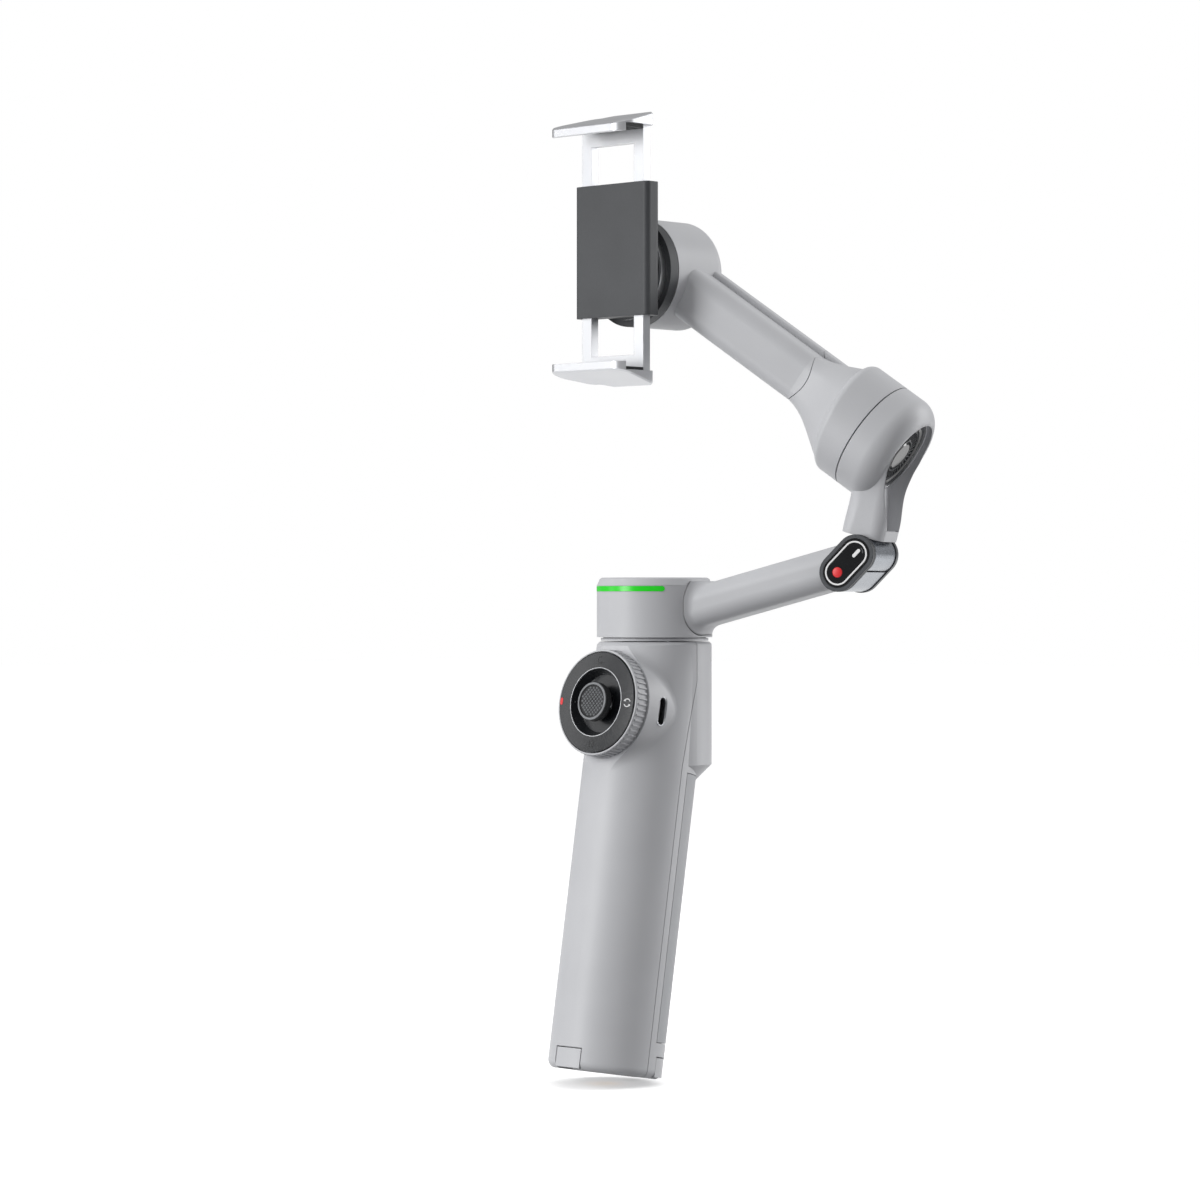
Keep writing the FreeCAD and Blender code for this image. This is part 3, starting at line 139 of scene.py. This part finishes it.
def surface(name, tints, rough, grain, depth, stretch=(1, 1, 1), edge=0.25, **shader):
    """Solid finish: two tints that drift over centimetres, a rough range and a fine grain.

    grain is the texture's pitch and depth its height, in millimetres; edge is the radius
    that rounds off sharp edges; shader holds the other sockets of the Principled shader.
    """
    mat = bpy.data.materials.new(name)
    mat.use_nodes = True
    mat.node_tree.nodes.clear()
    place = add(mat, "ShaderNodeTexCoord").outputs["Object"]
    drift = add(mat, "ShaderNodeTexNoise", {"Vector": place, "Scale": 45.0, "Detail": 2.0})
    colour = ramp(mat, drift.outputs["Fac"], [(0.35, paint(tints[0])), (0.65, paint(tints[1]))])
    along = add(mat, "ShaderNodeMapping", {"Vector": place, "Scale": stretch})
    fine = add(mat, "ShaderNodeTexNoise",
               {"Vector": along.outputs["Vector"], "Scale": 1000 / grain, "Detail": 3.0})
    gloss = add(mat, "ShaderNodeMapRange",
                {"Value": fine.outputs["Fac"], "To Min": rough[0], "To Max": rough[1]})
    soft = add(mat, "ShaderNodeBevel", {"Radius": edge * MM}, samples=4)
    bump = add(mat, "ShaderNodeBump", {"Height": fine.outputs["Fac"], "Distance": depth * MM,
                                       "Strength": 1.0, "Normal": soft.outputs["Normal"]})
    body = add(mat, "ShaderNodeBsdfPrincipled",
               {"Base Color": colour, "Roughness": gloss.outputs["Result"],
                "Normal": bump.outputs["Normal"], **shader})
    add(mat, "ShaderNodeOutputMaterial", {"Surface": body.outputs["BSDF"]})
    return mat


def glow(name, code, strength):
    """Lit light guide: a milky core with a slight unevenness along its length."""
    mat = surface(name, (code, code), (0.2, 0.3), 0.6, 0.002)
    body = next(n for n in mat.node_tree.nodes if n.type == "BSDF_PRINCIPLED")
    body.inputs["Emission Color"].default_value = paint(code)
    body.inputs["Emission Strength"].default_value = strength
    return mat


# Moulded polycarbonate blend with a fine spark-eroded texture: a dead even satin grey.
SHELL = surface("moulded_polycarbonate", ("BDBEC1", "C1C2C5"), (0.42, 0.5), 0.35, 0.004)
# Liquid silicone over-moulding: a touch darker and softer than the shell it lies in.
SILICONE = surface("silicone_overmould", ("B0B2B5", "B5B6B9"), (0.6, 0.7), 0.5, 0.01)
# Black thermoplastic rubber: matte, only a broad sheen.
RUBBER = surface("black_rubber", ("1B1C1E", "212224"), (0.62, 0.75), 0.4, 0.015)
# Polished black polycarbonate: deep, with clear reflections under a hard coat.
GLOSS = surface("piano_black_polycarbonate", ("101113", "141517"), (0.08, 0.14), 2.5, 0.001,
                edge=0.12)
GLOSS_SATIN = surface("satin_black_polycarbonate", ("1D1F22", "212326"), (0.2, 0.28), 0.8, 0.002,
                      edge=0.12)
# Glass-filled nylon: dark, slightly dusty, coarser grain.
NYLON = surface("glass_filled_nylon", ("2E3033", "35373A"), (0.5, 0.62), 0.5, 0.012)
# Black e-coat over steel: dark grey with a soft metallic return.
ECOAT = surface("black_ecoat_steel", ("3A3C3F", "444649"), (0.34, 0.44), 0.4, 0.003, edge=0.15,
                Metallic=0.5)
# Bead-blasted and anodised aluminium: bright, with a fine even sparkle.
ALUMINIUM = surface("anodised_aluminium", ("B4B5B8", "BBBCBE"), (0.32, 0.42), 0.25, 0.003,
                    edge=0.15, Metallic=1.0)
# Machined aluminium with cutter lines along the piece.
MACHINED = surface("brushed_aluminium", ("7C8086", "868A90"), (0.22, 0.34), 0.5, 0.001,
                   stretch=(0.04, 1, 1), edge=0.15, Metallic=1.0)
STEEL = surface("ground_steel", ("A9ABAE", "B5B6B8"), (0.25, 0.38), 0.4, 0.003, Metallic=1.0)
BRASS = surface("turned_brass", ("C9A562", "D3B071"), (0.24, 0.36), 0.4, 0.003,
                stretch=(1, 1, 5), Metallic=1.0)
SHRINK = surface("pvc_shrink_wrap", ("2C4F7A", "315584"), (0.3, 0.4), 3.0, 0.01)
BOARD = surface("solder_masked_laminate", ("14552F", "1A6237"), (0.28, 0.4), 1.0, 0.01)
LAMINATION = surface("motor_laminations", ("6E6A66", "77736E"), (0.4, 0.5), 0.35, 0.02,
                     stretch=(0.2, 0.2, 1), Metallic=1.0)
GREEN = glow("lit_green_light_guide", "0EC80E", 0.2)
RED = surface("red_enamel", ("E3252B", "DD2027"), (0.35, 0.45), 0.5, 0.002)
WHITE = surface("white_print_ink", ("F2F2F2", "ECECEC"), (0.4, 0.5), 0.3, 0.002)
GREY_INK = surface("grey_print_ink", ("5A5C5F", "626467"), (0.4, 0.5), 0.3, 0.002)
# Harder grey elastomer of the thumb rest's diamond knurl.
KNURL = surface("grey_elastomer", ("7C7E81", "85878A"), (0.45, 0.55), 0.4, 0.004)
DARK_INK = surface("dark_print_ink", ("07080A", "0A0B0D"), (0.3, 0.4), 0.3, 0.002)

FINISHES = {
    "shell": SHELL, "grip_rubber": SILICONE, "black_rubber": RUBBER, "gloss_black": GLOSS,
    "inner_plastic": NYLON, "dark_metal": ECOAT, "satin_aluminium": ALUMINIUM,
    "rod_metal": ALUMINIUM, "steel": STEEL, "brass": BRASS, "cell_wrap": SHRINK,
    "board": BOARD, "motor_iron": LAMINATION, "status_green": GREEN,
}
for part in frame["record"]["subparts"]:
    node = frame["nodes"][part["node"]]
    node.data.materials.clear()
    node.data.materials.append(FINISHES[part["material_slot"]])


def refinish(name, mat):
    """Gives one part of the frame a finish of its own."""
    frame["nodes"][name].data.materials[0] = mat


refinish("button_ring", GLOSS_SATIN)
refinish("neck_flange", SHELL)
refinish("hinge_block", MACHINED)
refinish("hinge_barrel", MACHINED)


# ---- making pieces ------------------------------------------------------------------------------
def piece(name, bm, place, mat, body, smooth=40):
    """Closes up a bmesh drawn in millimetres, puts it in place and rides it on a body."""
    bmesh.ops.remove_doubles(bm, verts=bm.verts, dist=0.0005)
    bmesh.ops.recalc_face_normals(bm, faces=bm.faces)
    bmesh.ops.transform(bm, matrix=place @ Matrix.Scale(MM, 4), verts=bm.verts)
    mesh = bpy.data.meshes.new(name)
    bm.to_mesh(mesh)
    bm.free()
    for face in mesh.polygons:
        face.use_smooth = True
    mesh.set_sharp_from_angle(angle=math.radians(smooth))
    obj = bpy.data.objects.new(name, mesh)
    bpy.context.scene.collection.objects.link(obj)
    mesh.materials.append(mat)
    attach(obj, body)
    return obj


def spun(bm, outline, steps=96, sweep=360.0):
    """Turns a closed outline of (radius, height) points about Z."""
    face = bm.faces.new([bm.verts.new((r, 0, z)) for r, z in outline])
    full = sweep == 360.0
    bmesh.ops.spin(bm, geom=[face], cent=(0, 0, 0), axis=(0, 0, 1), angle=math.radians(sweep),
                   steps=steps, use_merge=full, use_duplicate=False)
    if full:
        bmesh.ops.delete(bm, geom=[face], context="FACES_ONLY")


def ring(inner, outer, low, high, chamfer):
    """Flat ring with its outer top edge chamfered."""
    bm = bmesh.new()
    spun(bm, [(inner, low), (outer, low), (outer, high - chamfer), (outer - chamfer, high),
              (inner, high)])
    return bm


def arc(bm, radius, wide, tall, start, sweep, middle):
    """Arc of a flat line on a face, from an angle in degrees, about a middle point."""
    turn = Matrix.Rotation(math.radians(start), 4, "Z")
    before = set(bm.verts)
    half = wide / 2
    spun(bm, [(radius - half, 0), (radius + half, 0), (radius + half, tall), (radius - half, tall)],
         LINE_STEPS, sweep)
    fresh = [v for v in bm.verts if v not in before]
    bmesh.ops.transform(bm, matrix=Matrix.Translation(middle) @ turn, verts=fresh)


def tip(bm, radius, size, tall, angle, middle, facing):
    """Arrow head at an angle on an arc; facing is +1 anticlockwise, -1 clockwise."""
    made = bmesh.ops.create_cone(bm, cap_ends=True, segments=3, radius1=size, radius2=size,
                                 depth=tall)
    turn = Matrix.Rotation(math.radians(angle), 4, "Z")
    place = Matrix.Translation(middle) @ turn @ Matrix.Translation((radius, 0, tall / 2))
    heading = Matrix.Rotation(facing * QUARTER, 4, "Z")
    bmesh.ops.transform(bm, matrix=place @ heading, verts=made["verts"])


def capsule_line(bm, a, b, radius, wide, y0, y1):
    """Racetrack-shaped line round two points (x, z), between two depths."""
    ax, az = a
    bx, bz = b
    heading = math.atan2(bz - az, bx - ax)
    out = Vector((-math.sin(heading), 0, math.cos(heading)))
    centre_a = Vector((ax, 0, az))
    centre_b = Vector((bx, 0, bz))
    corners = []
    for r, y in ((radius - wide, y0), (radius, y0), (radius, y1), (radius - wide, y1)):
        corners.append(bm.verts.new(centre_a + out * r + Vector((0, y, 0))))
    last = [bm.faces.new(corners)]
    for centre, run in ((centre_a, centre_b - centre_a), (centre_b, centre_a - centre_b)):
        made = bmesh.ops.spin(bm, geom=last, cent=centre, axis=(0, -1, 0), angle=math.pi,
                              steps=24, use_merge=False, use_duplicate=False)
        last = [g for g in made["geom_last"] if isinstance(g, bmesh.types.BMFace)]
        made = bmesh.ops.extrude_face_region(bm, geom=last)
        verts = [g for g in made["geom"] if isinstance(g, bmesh.types.BMVert)]
        last = [g for g in made["geom"] if isinstance(g, bmesh.types.BMFace)]
        bmesh.ops.translate(bm, vec=run, verts=verts)


def capsule_solid(bm, a, b, radius, y0, y1):
    """Solid racetrack plate: the hull of two short cylinders."""
    for x, z in (a, b):
        made = bmesh.ops.create_cone(bm, cap_ends=True, segments=LINE_STEPS, radius1=radius,
                                     radius2=radius, depth=y1 - y0)
        place = Matrix.Translation((x, (y0 + y1) / 2, z)) @ Matrix.Rotation(QUARTER, 4, "X")
        bmesh.ops.transform(bm, matrix=place, verts=made["verts"])
    hull = bmesh.ops.convex_hull(bm, input=bm.verts)
    spare = [g for g in hull["geom_interior"] + hull["geom_unused"]
             if isinstance(g, bmesh.types.BMVert)]
    bmesh.ops.delete(bm, geom=spare, context="VERTS")


# ---- control wheel ------------------------------------------------------------------------------
CROWN = 170.0    # radius of the wheel face's shallow crown


def crown(radius):
    """Height of the wheel's face at a radius."""
    return WHEEL_FACE + 0.04 + (RING_RADIUS ** 2 - radius ** 2) / (2 * CROWN)


def drape(bm):
    """Lays a flat mark, drawn at height zero, on the crowned face."""
    for vert in bm.verts:
        vert.co.z += crown(math.hypot(vert.co.x, vert.co.y)) - 0.02
    return bm


face = bmesh.new()
FACE_RADII = [BOWL_RADIUS + (RING_RADIUS - 0.15 - BOWL_RADIUS) * k / 8 for k in range(9)]
spun(face, [(r, crown(r)) for r in FACE_RADII] + [(RING_RADIUS, WHEEL_FACE - 0.3),
                                                  (BOWL_RADIUS, WHEEL_FACE - 0.3)])
piece("wheel_face", face, WHEEL, GLOSS_SATIN, "ring")
# Thin light aluminium ring round the bowl's rim: a painted highlight, standing in for the light the
# rim's rounded edge catches.
piece("bowl_rim_painted_highlight", ring(BOWL_RADIUS - 0.12, BOWL_RADIUS + 0.1, WHEEL_FACE - 0.05,
                            crown(BOWL_RADIUS) + 0.03, 0.05),
      WHEEL, ALUMINIUM, "ring")

MARK_RADIUS = (RING_RADIUS + BOWL_RADIUS) / 2
MARK_HIGH = 0.05

flip = bmesh.new()
spot = (MARK_RADIUS, 0, 0)
for half_turn in (0, 180):
    arc(flip, 1.15, 0.26, MARK_HIGH, half_turn + 20, 115, spot)
    tip(flip, 1.15, 0.5, MARK_HIGH, half_turn + 142, spot, 1)
piece("turn_round_mark", drape(flip), WHEEL, WHITE, "ring")

swing = bmesh.new()
spot = (0, MARK_RADIUS, 0)
arc(swing, 1.05, 0.28, MARK_HIGH, 60, 240, spot)
tip(swing, 1.05, 0.5, MARK_HIGH, 305, spot, 1)
piece("recentre_mark", drape(swing), WHEEL, DARK_INK, "ring")

SQUARE_SIDE = 1.54
square = bmesh.new()
for side in range(4):
    made = bmesh.ops.create_cube(square, size=1.0)
    turn = Matrix.Rotation(side * QUARTER, 4, "Z")
    box = Matrix.Diagonal((1.8, 0.26, MARK_HIGH, 1))
    middle = Matrix.Translation((0, -MARK_RADIUS, MARK_HIGH / 2))
    move = middle @ turn @ Matrix.Translation((0, SQUARE_SIDE / 2, 0))
    bmesh.ops.transform(square, matrix=move @ box, verts=made["verts"])
piece("mode_mark", drape(square), WHEEL, DARK_INK, "ring")

record_mark = bmesh.new()
capsule_solid(record_mark, (-RING_RADIUS + 0.85, -0.55), (-RING_RADIUS + 0.85, 0.55), 0.55,
              -WHEEL_FACE - 0.2, -WHEEL_FACE + 0.05)
piece("record_mark", record_mark, WHEEL @ Matrix.Rotation(-QUARTER, 4, "X"), RED, "ring")

BOWL_DEPTH = 3.0
BOWL_SLOPE = BOWL_DEPTH / 1.6
dots = bmesh.new()
for x, y in ((-9.0, 0.0), (-8.1, 0.0), (-9.9, 0.0), (-0.9, 9.0), (0.0, 9.0), (0.9, 9.0)):
    made = bmesh.ops.create_cone(dots, cap_ends=True, segments=12, radius1=0.2, radius2=0.2,
                                 depth=MARK_HIGH)
    drop = min((BOWL_RADIUS - math.hypot(x, y)) * BOWL_SLOPE, BOWL_DEPTH)
    bmesh.ops.transform(dots, matrix=Matrix.Translation((x, y, WHEEL_FACE - drop)),
                        verts=made["verts"])
piece("bowl_dots", dots, WHEEL, GREY_INK, "ring")

cap_low = WHEEL_FACE - 1.0
cap = bmesh.new()
spun(cap, [(0, cap_low), (STICK_RADIUS - 0.9, cap_low), (STICK_RADIUS - 0.3, cap_low + 0.5),
           (STICK_RADIUS - 0.1, cap_low + 1.1), (STICK_RADIUS - 0.4, cap_low + 2.0),
           (STICK_RADIUS - 0.1, cap_low + 2.7), (STICK_RADIUS - 0.15, STICK_TOP - 0.25),
           (STICK_RADIUS - 0.45, STICK_TOP), (STICK_RADIUS - 0.9, STICK_TOP),
           (STICK_RADIUS - 1.15, STICK_TOP - 0.4), (0, STICK_TOP - 0.35)])
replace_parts(piece("thumb_cap", cap, WHEEL, RUBBER, "stick"), "stick_cap")

knurl = bmesh.new()
PITCH = 0.95
reach = int(STICK_RADIUS / PITCH) + 1
for i in range(-reach, reach + 1):
    for j in range(-reach, reach + 1):
        x = (i - j) * PITCH * 0.7071
        y = (i + j) * PITCH * 0.7071
        if math.hypot(x, y) < STICK_RADIUS - 1.45:
            made = bmesh.ops.create_cone(knurl, cap_ends=True, segments=4, radius1=0.56,
                                         radius2=0.14, depth=0.4)
            bmesh.ops.transform(knurl, matrix=Matrix.Translation((x, y, STICK_TOP - 0.24)),
                                verts=made["verts"])
piece("thumb_cap_knurl", knurl, WHEEL, KNURL, "stick", 20)
piece("thumb_cap_rim", ring(STICK_RADIUS - 0.95, STICK_RADIUS - 0.3, STICK_TOP - 0.3,
                            STICK_TOP + 0.04, 0.12), WHEEL, KNURL, "stick")

# ---- fold hinge -----------------------------------------------------------------------------------
step = KNUCKLE_STEP * math.cos(math.radians(45))
LOWER = (PIVOT_R - step, PIVOT_Z - step)
UPPER = (PIVOT_R, PIVOT_Z)
line = bmesh.new()
capsule_line(line, LOWER, UPPER, 3.85, 0.5, FACE_Y - 0.08, FACE_Y + 0.1)
piece("hinge_face_line", line, ARM, WHITE, "pan_arm")

dot = bmesh.new()
made = bmesh.ops.create_uvsphere(dot, u_segments=32, v_segments=16, radius=1.55)
bmesh.ops.transform(dot, matrix=Matrix.Translation((LOWER[0], FACE_Y, LOWER[1]))
                    @ Matrix.Diagonal((1, 0.22, 1, 1)), verts=made["verts"])
piece("hinge_red_dot", dot, ARM, RED, "pan_arm")

bar = bmesh.new()
middle = (UPPER[0] + 0.5, UPPER[1] + 0.2)
lean = 0.75
capsule_solid(bar, (middle[0] - lean, middle[1] - lean), (middle[0] + lean, middle[1] + lean),
              0.52, FACE_Y - 0.12, FACE_Y + 0.1)
piece("hinge_white_bar", bar, ARM, WHITE, "pan_arm")

lens = bmesh.new()
arc(lens, 1.3, 0.22, 0.1, -20, 75, (0, 0, 0))
place = ARM @ at(UPPER[0] + 1.2, FACE_Y + 0.02, UPPER[1] + 0.6) @ Matrix.Rotation(QUARTER, 4, "X")
piece("hinge_small_arc", lens, place, GREY_INK, "pan_arm")

for number, (radius, y_out, y_in) in enumerate(((5.75, -11.05, -10.35), (5.75, -9.6, -9.0))):
    rim = bmesh.new()
    capsule_line(rim, LOWER, UPPER, radius, 0.3, y_out, y_in)
    piece("hinge_rim_" + str(number + 1), rim, ARM, NYLON, "pan_arm")

# ---- tilt motor's end disc ----------------------------------------------------------------------
disc_low = -10.0
for number, (inner, outer, proud) in enumerate(((10.4, 10.75, 0.25), (8.4, 8.6, 0.2),
                                                (5.0, 5.35, 0.35))):
    groove = bmesh.new()
    spun(groove, [(inner, disc_low - proud), (outer, disc_low - proud), (outer, disc_low + 0.2),
                  (inner, disc_low + 0.2)])
    piece("motor_disc_ring_" + str(number + 1), groove, TILT, ECOAT, "fold_arm")
ribs = bmesh.new()
RIB_COUNT = 36
for number in range(RIB_COUNT):
    made = bmesh.ops.create_cube(ribs, size=1.0)
    turn = Matrix.Rotation(math.radians(360 * number / RIB_COUNT), 4, "Z")
    size = Matrix.Diagonal((2.6, 0.35, 0.3, 1))
    move = turn @ Matrix.Translation((6.9, 0, disc_low - 0.08)) @ size
    bmesh.ops.transform(ribs, matrix=move, verts=made["verts"])
piece("motor_disc_ribs", ribs, TILT, NYLON, "fold_arm")

# ---- clamp pads ---------------------------------------------------------------------------------
for side, body in ((1, "upper_jaw"), (-1, "lower_jaw")):
    pad_ribs = bmesh.new()
    for number in range(9):
        made = bmesh.ops.create_cube(pad_ribs, size=1.0)
        size = Matrix.Diagonal((1.1, 7.4, 0.3, 1))
        move = Matrix.Translation((-10.0 + 2.6 * number, -4.0, side * (PHONE_HALF - 0.05))) @ size
        bmesh.ops.transform(pad_ribs, matrix=move, verts=made["verts"])
        bmesh.ops.bevel(pad_ribs, geom=list({e for v in made["verts"] for e in v.link_edges}),
                        offset=0.1, offset_type="OFFSET", segments=2, profile=0.5,
                        affect="EDGES", material=-1)
    piece("pad_ribs_" + ("top" if side > 0 else "bottom"), pad_ribs, CLAMP, RUBBER, body)

# ---- floor, lights and camera -------------------------------------------------------------------
low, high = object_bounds()
floor_mesh = bmesh.new()
bmesh.ops.create_grid(floor_mesh, x_segments=1, y_segments=1, size=6.0)
bmesh.ops.translate(floor_mesh, vec=(0, 0, low.z - 0.0005), verts=floor_mesh.verts)
floor_data = bpy.data.meshes.new("floor")
floor_mesh.to_mesh(floor_data)
floor_mesh.free()
floor = bpy.data.objects.new("floor", floor_data)
bpy.context.scene.collection.objects.link(floor)
floor_data.materials.append(surface("pale_floor", ("FCFCFC", "FFFFFF"), (0.7, 0.8), 3.0, 0.0,
                                    **{"Emission Color": (1, 1, 1, 1), "Emission Strength": 0.36}))
floor.visible_diffuse = False    # the table doesn't throw light back up under the piece

# Light tent: bright overhead, dimmer at the sides, and a white wall behind what is looked at.
world = bpy.data.worlds.new("light_tent")
bpy.context.scene.world = world
world.use_nodes = True
world.node_tree.nodes.clear()
height = add(world, "ShaderNodeSeparateXYZ",
             {"Vector": add(world, "ShaderNodeTexCoord").outputs["Generated"]}).outputs["Z"]
tent = ramp(world, height, [(0.0, (0.2, 0.2, 0.205, 1)), (0.25, (0.36, 0.36, 0.365, 1)),
                            (1.0, (0.85, 0.85, 0.85, 1))])
dome = add(world, "ShaderNodeBackground", {"Color": tent, "Strength": 1.1})
wall = add(world, "ShaderNodeBackground", {"Color": (1, 1, 1, 1), "Strength": 1.0})
seen = add(world, "ShaderNodeMixShader",
           {"Fac": add(world, "ShaderNodeLightPath").outputs["Is Camera Ray"]})
world.node_tree.links.new(dome.outputs["Background"], seen.inputs[1])
world.node_tree.links.new(wall.outputs["Background"], seen.inputs[2])
add(world, "ShaderNodeOutputWorld", {"Surface": seen.outputs["Shader"]})
bpy.context.scene.view_settings.view_transform = "Standard"

VIEW_AZIMUTH = math.radians(43.5)
toward = Vector((math.sin(VIEW_AZIMUTH), -math.cos(VIEW_AZIMUTH), 0))
right = Vector((math.cos(VIEW_AZIMUTH), math.sin(VIEW_AZIMUTH), 0))
aim = Vector((0.02, 0.02, 0.15))


def softbox(name, across, out, up, size, power):
    """Rectangular soft light, placed by the camera's right, towards it and up, in metres."""
    data = bpy.data.lights.new(name, "AREA")
    data.shape = "RECTANGLE"
    data.size, data.size_y = size
    data.energy = power
    lamp = bpy.data.objects.new(name, data)
    lamp.location = aim + right * across + toward * out + Vector((0, 0, up))
    lamp.rotation_euler = (lamp.location - aim).to_track_quat("Z", "Y").to_euler()
    bpy.context.scene.collection.objects.link(lamp)


softbox("key", -1.1, 0.55, 0.15, (0.45, 1.2), 13.5)
softbox("strip", -1.2, -0.12, 0.1, (0.3, 1.0), 1.8)
softbox("rim", 1.15, -0.35, 0.3, (0.35, 1.0), 8.5)

camera_data = bpy.data.cameras.new("camera")
camera_data.lens = 115.5
camera_data.sensor_width = 36
camera = bpy.data.objects.new("camera", camera_data)
camera.location = (0.796, -0.8407, 0.1424)
camera.rotation_euler = (QUARTER, 0, VIEW_AZIMUTH)
bpy.context.scene.collection.objects.link(camera)
bpy.context.scene.camera = camera
